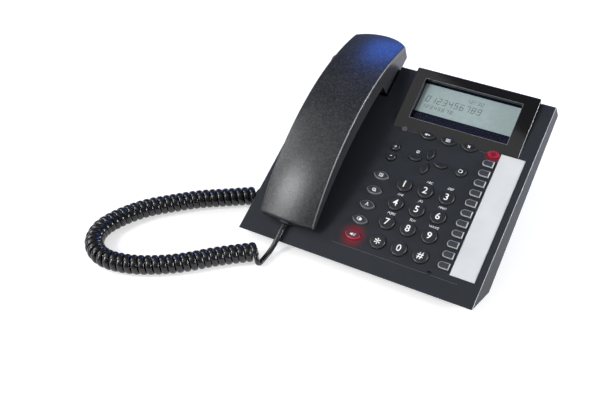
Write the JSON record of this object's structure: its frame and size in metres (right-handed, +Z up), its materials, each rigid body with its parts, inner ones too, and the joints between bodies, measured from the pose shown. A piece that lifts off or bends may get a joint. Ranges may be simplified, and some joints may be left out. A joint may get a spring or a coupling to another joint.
{
  "type": "corded telephone",
  "caption": "Desk telephone with a handset in its cradle, curly cord, keypad, memory keys with a label card, and a display on a sloping base.",
  "frame": {"origin": "middle of the base's outline, on the surface that the feet stand on (cord left out)", "axes": "+X to the right across the keypad, +Y away from the user, +Z up"},
  "size_m": [0.3247, 0.2987, 0.1091],
  "materials": {
    "housing": "fine grained matte",
    "handset": "sparkled grain, satin",
    "key": "satin, printed",
    "red_key": "translucent red, lit",
    "bezel": "high gloss",
    "window": "clear polished",
    "display": "grey liquid crystal",
    "board": "green solder mask",
    "mat": "soft translucent",
    "card": "white printed card",
    "cord": "smooth gloss",
    "plug": "clear smoked",
    "socket": "moulded",
    "lamp": "clear lens",
    "capsule": "moulded",
    "screw": "zinc",
    "foot": "soft matte"
  },
  "bodies": {
    "base": {"upper_housing": "housing", "lower_housing": "housing", "desk_stand": "housing", "rubber_feet": "foot", "housing_screws": "screw", "display_frame": "bezel", "display_window": "window", "lcd_panel": "display", "main_board": "board", "keypad_mat": "mat", "label_card": "card", "loudspeaker": "capsule", "modular_sockets": "socket", "indicator_lamps": "lamp", "cord_curls": "cord", "handset_lead": "cord", "base_lead": "cord", "base_plug": "plug"},
    "handset": {"handset_outer_shell": "handset", "handset_inner_shell": "handset", "handset_capsules": "capsule", "handset_plug": "plug"},
    "hook_button": {"hook_button": "socket"},
    "volume_rocker": {"volume_rocker": "key"},
    "key_star": {"key_star": "key"},
    "key_0": {"key_0": "key"},
    "key_hash": {"key_hash": "key"},
    "key_7": {"key_7": "key"},
    "key_8": {"key_8": "key"},
    "key_9": {"key_9": "key"},
    "key_4": {"key_4": "key"},
    "key_5": {"key_5": "key"},
    "key_6": {"key_6": "key"},
    "key_1": {"key_1": "key"},
    "key_2": {"key_2": "key"},
    "key_3": {"key_3": "key"},
    "soft_key_left": {"soft_key_left": "key"},
    "soft_key_middle": {"soft_key_middle": "key"},
    "soft_key_right": {"soft_key_right": "key"},
    "speaker_key": {"speaker_key": "red_key"},
    "oval_key_1": {"oval_key_1": "key"},
    "oval_key_2": {"oval_key_2": "key"},
    "oval_key_3": {"oval_key_3": "key"},
    "oval_key_4": {"oval_key_4": "key"},
    "memory_key_1": {"memory_key_1": "key"},
    "memory_key_2": {"memory_key_2": "key"},
    "memory_key_3": {"memory_key_3": "key"},
    "memory_key_4": {"memory_key_4": "key"},
    "memory_key_5": {"memory_key_5": "key"},
    "memory_key_6": {"memory_key_6": "key"},
    "memory_key_7": {"memory_key_7": "key"},
    "memory_key_8": {"memory_key_8": "key"},
    "memory_key_9": {"memory_key_9": "key"},
    "memory_key_10": {"memory_key_10": "key"},
    "memory_key_11": {"memory_key_11": "key"},
    "arrow_left": {"arrow_left": "key"},
    "arrow_right": {"arrow_right": "key"},
    "arrow_up": {"arrow_up": "key"},
    "arrow_down": {"arrow_down": "key"},
    "enter_key": {"enter_key": "key"}
  },
  "joints": [
    {"name": "handset_lift", "type": "slide", "parent": "base", "child": "handset", "axis": [0, -0.4226, 0.9063], "range_m": [0, 0.08], "deforming": ["handset_lead"]},
    {"name": "hook_travel", "type": "slide", "parent": "base", "child": "hook_button", "axis": [0, -0.4226, 0.9063], "range_m": [0, 0.003]},
    {"name": "key_star_press", "type": "slide", "parent": "base", "child": "key_star", "axis": [0, 0.4226, -0.9063], "range_m": [0, 0.0015], "stiffness_N_per_m": 500},
    {"name": "key_0_press", "type": "slide", "parent": "base", "child": "key_0", "axis": [0, 0.4226, -0.9063], "range_m": [0, 0.0015], "stiffness_N_per_m": 500},
    {"name": "key_hash_press", "type": "slide", "parent": "base", "child": "key_hash", "axis": [0, 0.4226, -0.9063], "range_m": [0, 0.0015], "stiffness_N_per_m": 500},
    {"name": "key_7_press", "type": "slide", "parent": "base", "child": "key_7", "axis": [0, 0.4226, -0.9063], "range_m": [0, 0.0015], "stiffness_N_per_m": 500},
    {"name": "key_8_press", "type": "slide", "parent": "base", "child": "key_8", "axis": [0, 0.4226, -0.9063], "range_m": [0, 0.0015], "stiffness_N_per_m": 500},
    {"name": "key_9_press", "type": "slide", "parent": "base", "child": "key_9", "axis": [0, 0.4226, -0.9063], "range_m": [0, 0.0015], "stiffness_N_per_m": 500},
    {"name": "key_4_press", "type": "slide", "parent": "base", "child": "key_4", "axis": [0, 0.4226, -0.9063], "range_m": [0, 0.0015], "stiffness_N_per_m": 500},
    {"name": "key_5_press", "type": "slide", "parent": "base", "child": "key_5", "axis": [0, 0.4226, -0.9063], "range_m": [0, 0.0015], "stiffness_N_per_m": 500},
    {"name": "key_6_press", "type": "slide", "parent": "base", "child": "key_6", "axis": [0, 0.4226, -0.9063], "range_m": [0, 0.0015], "stiffness_N_per_m": 500},
    {"name": "key_1_press", "type": "slide", "parent": "base", "child": "key_1", "axis": [0, 0.4226, -0.9063], "range_m": [0, 0.0015], "stiffness_N_per_m": 500},
    {"name": "key_2_press", "type": "slide", "parent": "base", "child": "key_2", "axis": [0, 0.4226, -0.9063], "range_m": [0, 0.0015], "stiffness_N_per_m": 500},
    {"name": "key_3_press", "type": "slide", "parent": "base", "child": "key_3", "axis": [0, 0.4226, -0.9063], "range_m": [0, 0.0015], "stiffness_N_per_m": 500},
    {"name": "soft_key_left_press", "type": "slide", "parent": "base", "child": "soft_key_left", "axis": [0, 0.4226, -0.9063], "range_m": [0, 0.0015], "stiffness_N_per_m": 500},
    {"name": "soft_key_middle_press", "type": "slide", "parent": "base", "child": "soft_key_middle", "axis": [0, 0.4226, -0.9063], "range_m": [0, 0.0015], "stiffness_N_per_m": 500},
    {"name": "soft_key_right_press", "type": "slide", "parent": "base", "child": "soft_key_right", "axis": [0, 0.4226, -0.9063], "range_m": [0, 0.0015], "stiffness_N_per_m": 500},
    {"name": "speaker_key_press", "type": "slide", "parent": "base", "child": "speaker_key", "axis": [0, 0.4226, -0.9063], "range_m": [0, 0.0015], "stiffness_N_per_m": 500},
    {"name": "oval_key_1_press", "type": "slide", "parent": "base", "child": "oval_key_1", "axis": [0, 0.4226, -0.9063], "range_m": [0, 0.0015], "stiffness_N_per_m": 500},
    {"name": "oval_key_2_press", "type": "slide", "parent": "base", "child": "oval_key_2", "axis": [0, 0.4226, -0.9063], "range_m": [0, 0.0015], "stiffness_N_per_m": 500},
    {"name": "oval_key_3_press", "type": "slide", "parent": "base", "child": "oval_key_3", "axis": [0, 0.4226, -0.9063], "range_m": [0, 0.0015], "stiffness_N_per_m": 500},
    {"name": "oval_key_4_press", "type": "slide", "parent": "base", "child": "oval_key_4", "axis": [0, 0.4226, -0.9063], "range_m": [0, 0.0015], "stiffness_N_per_m": 500},
    {"name": "memory_key_1_press", "type": "slide", "parent": "base", "child": "memory_key_1", "axis": [0, 0.4226, -0.9063], "range_m": [0, 0.0015], "stiffness_N_per_m": 500},
    {"name": "memory_key_2_press", "type": "slide", "parent": "base", "child": "memory_key_2", "axis": [0, 0.4226, -0.9063], "range_m": [0, 0.0015], "stiffness_N_per_m": 500},
    {"name": "memory_key_3_press", "type": "slide", "parent": "base", "child": "memory_key_3", "axis": [0, 0.4226, -0.9063], "range_m": [0, 0.0015], "stiffness_N_per_m": 500},
    {"name": "memory_key_4_press", "type": "slide", "parent": "base", "child": "memory_key_4", "axis": [0, 0.4226, -0.9063], "range_m": [0, 0.0015], "stiffness_N_per_m": 500},
    {"name": "memory_key_5_press", "type": "slide", "parent": "base", "child": "memory_key_5", "axis": [0, 0.4226, -0.9063], "range_m": [0, 0.0015], "stiffness_N_per_m": 500},
    {"name": "memory_key_6_press", "type": "slide", "parent": "base", "child": "memory_key_6", "axis": [0, 0.4226, -0.9063], "range_m": [0, 0.0015], "stiffness_N_per_m": 500},
    {"name": "memory_key_7_press", "type": "slide", "parent": "base", "child": "memory_key_7", "axis": [0, 0.4226, -0.9063], "range_m": [0, 0.0015], "stiffness_N_per_m": 500},
    {"name": "memory_key_8_press", "type": "slide", "parent": "base", "child": "memory_key_8", "axis": [0, 0.4226, -0.9063], "range_m": [0, 0.0015], "stiffness_N_per_m": 500},
    {"name": "memory_key_9_press", "type": "slide", "parent": "base", "child": "memory_key_9", "axis": [0, 0.4226, -0.9063], "range_m": [0, 0.0015], "stiffness_N_per_m": 500},
    {"name": "memory_key_10_press", "type": "slide", "parent": "base", "child": "memory_key_10", "axis": [0, 0.4226, -0.9063], "range_m": [0, 0.0015], "stiffness_N_per_m": 500},
    {"name": "memory_key_11_press", "type": "slide", "parent": "base", "child": "memory_key_11", "axis": [0, 0.4226, -0.9063], "range_m": [0, 0.0015], "stiffness_N_per_m": 500},
    {"name": "arrow_left_press", "type": "slide", "parent": "base", "child": "arrow_left", "axis": [0, 0.4226, -0.9063], "range_m": [0, 0.0015], "stiffness_N_per_m": 500},
    {"name": "arrow_right_press", "type": "slide", "parent": "base", "child": "arrow_right", "axis": [0, 0.4226, -0.9063], "range_m": [0, 0.0015], "stiffness_N_per_m": 500},
    {"name": "arrow_up_press", "type": "slide", "parent": "base", "child": "arrow_up", "axis": [0, 0.4226, -0.9063], "range_m": [0, 0.0015], "stiffness_N_per_m": 500},
    {"name": "arrow_down_press", "type": "slide", "parent": "base", "child": "arrow_down", "axis": [0, 0.4226, -0.9063], "range_m": [0, 0.0015], "stiffness_N_per_m": 500},
    {"name": "enter_key_press", "type": "slide", "parent": "base", "child": "enter_key", "axis": [0, 0.4226, -0.9063], "range_m": [0, 0.0015], "stiffness_N_per_m": 500},
    {"name": "volume_rock", "type": "hinge", "parent": "base", "child": "volume_rocker", "pos_m": [-0.0087, 0.00063, 0.05294], "axis": [1, 0, 0], "range_deg": [-4, 4], "stiffness_Nm_per_rad": 0.08}
  ],
  "couplings": [
    {"joint": "hook_travel", "follows": "handset_lift", "ratio": 0.0375}
  ]
}
